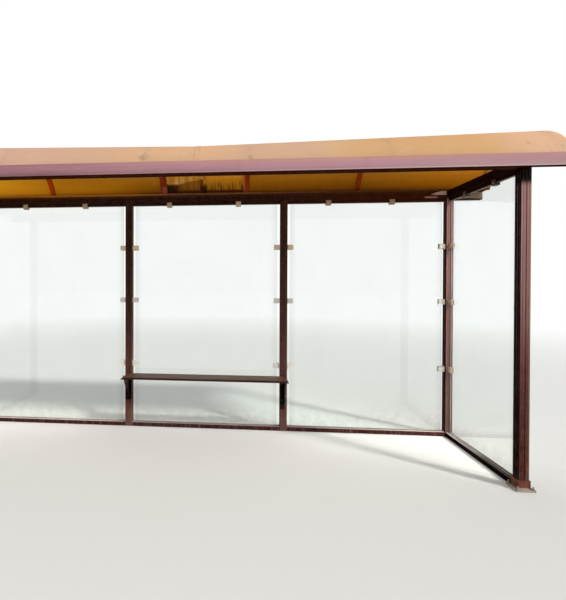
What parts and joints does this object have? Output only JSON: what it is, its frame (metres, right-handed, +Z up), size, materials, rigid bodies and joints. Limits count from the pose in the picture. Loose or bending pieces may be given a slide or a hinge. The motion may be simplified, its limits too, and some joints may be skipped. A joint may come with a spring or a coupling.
{
  "type": "bus shelter",
  "caption": "Open-fronted bus shelter with a barrel roof of translucent sheet, glass back and side walls and a narrow bench board.",
  "frame": {"origin": "ground level under the middle of the plan", "axes": "+Z up, +X along the length to the right as seen from the open front, +Y from the open front to the glass back"},
  "size_m": [5.505, 1.226, 2.7261],
  "materials": {
    "post_paint": "worn maroon paint",
    "beam_paint": "worn dark maroon paint",
    "sill_paint": "dusty maroon paint",
    "rib_paint": "maroon paint",
    "bracket_paint": "dark paint",
    "gutter_paint": "faded mauve paint",
    "rusted_foot": "rusted",
    "glass": "clear, slightly green",
    "clip": "cream, satin",
    "bench_board": "worn brown paint",
    "roof_sheet": "translucent, dirty",
    "fastener": "dull zinc plate, rusting",
    "rubber_seal": "black rubber"
  },
  "bodies": {
    "root": {"front_post_left": "post_paint", "front_post_right": "post_paint", "rear_post_left": "post_paint", "rear_post_right": "post_paint", "rear_middle_post_left": "post_paint", "rear_middle_post_right": "post_paint", "post_foot_left": "rusted_foot", "post_foot_right": "rusted_foot", "front_beam": "beam_paint", "rear_beam": "beam_paint", "side_beam_left": "beam_paint", "side_beam_right": "beam_paint", "rear_sill_left": "sill_paint", "rear_sill_middle": "sill_paint", "rear_sill_right": "sill_paint", "side_sill_left": "sill_paint", "side_sill_right": "sill_paint", "rear_glass_left": "glass", "rear_glass_middle": "glass", "rear_glass_right": "glass", "side_glass_left": "glass", "side_glass_right": "glass", "rear_clips_left": "clip", "rear_clips_middle": "clip", "rear_clips_right": "clip", "side_clips_left": "clip", "side_clips_right": "clip", "bench_seat": "bench_board", "bench_bracket_left": "bracket_paint", "bench_bracket_right": "bracket_paint", "front_gutter": "gutter_paint", "rear_gutter": "gutter_paint", "end_rib_left": "rib_paint", "end_rib_right": "rib_paint", "roof_rib_outer_left": "rib_paint", "roof_rib_outer_right": "rib_paint", "roof_rib_inner_left": "rib_paint", "roof_rib_inner_right": "rib_paint", "roof_joint_strip": "rib_paint", "roof_sheet_end_left": "roof_sheet", "roof_sheet_end_right": "roof_sheet", "roof_sheet_middle_left": "roof_sheet", "roof_sheet_middle_right": "roof_sheet"}
  },
  "joints": []
}
